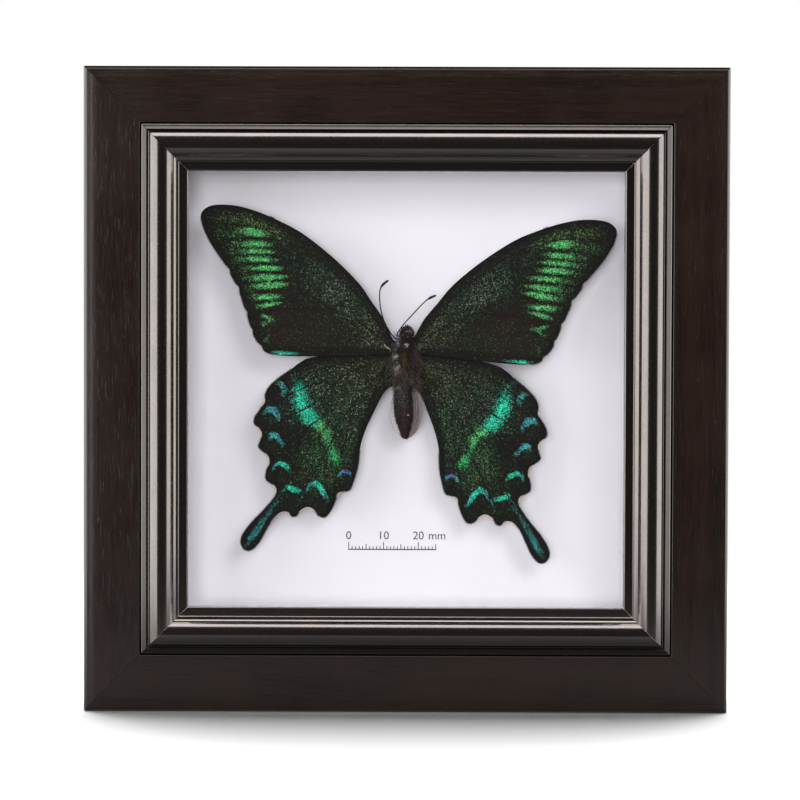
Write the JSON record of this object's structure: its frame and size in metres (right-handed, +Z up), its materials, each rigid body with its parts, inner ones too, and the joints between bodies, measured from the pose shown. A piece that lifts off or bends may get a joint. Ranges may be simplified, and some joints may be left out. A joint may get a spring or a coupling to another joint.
{
  "type": "framed butterfly specimen",
  "caption": "Spread swallowtail butterfly with green-banded dark wings, set on a white card behind glass in a small square dark wooden box frame.",
  "frame": {"origin": "middle of the bottom of the object's box", "axes": "+Z up the standing frame, +X to the right as seen from the front, the front with the glass faces -Y"},
  "size_m": [0.18, 0.0346, 0.18],
  "materials": {
    "dark_wood": "very dark brown stained wood with fine straight grain, satin",
    "dark_lacquer": "very dark brown wooden moulding under a glossy lacquer",
    "steel": "bright zinc-plated steel",
    "clear_glass": "clear float glass",
    "white_foam_board": "matt white foam board",
    "white_card": "smooth matt white card",
    "hardboard": "plain brown hardboard",
    "white_foam": "fine white foam",
    "dark_chitin": null,
    "wing_scales": null
  },
  "bodies": {
    "root": {"antenna_left": "dark_chitin", "antenna_right": "dark_chitin", "backing_board": "hardboard", "body": "dark_chitin", "foam_block": "white_foam", "forewing_left": "wing_scales", "forewing_right": "wing_scales", "glass": "clear_glass", "hanger": "steel", "hanger_nail_left": "steel", "hanger_nail_right": "steel", "hindwing_left": "wing_scales", "hindwing_right": "wing_scales", "mounting_card": "white_card", "point_bottom_1": "steel", "point_bottom_2": "steel", "point_left_1": "steel", "point_left_2": "steel", "point_right_1": "steel", "point_right_2": "steel", "point_top_1": "steel", "point_top_2": "steel", "rail_bottom": "dark_wood", "rail_left": "dark_wood", "rail_right": "dark_wood", "rail_top": "dark_wood", "slip_bottom": "dark_lacquer", "slip_left": "dark_lacquer", "slip_right": "dark_lacquer", "slip_top": "dark_lacquer", "spacer_bottom": "white_foam_board", "spacer_left": "white_foam_board", "spacer_right": "white_foam_board", "spacer_top": "white_foam_board"}
  },
  "joints": []
}
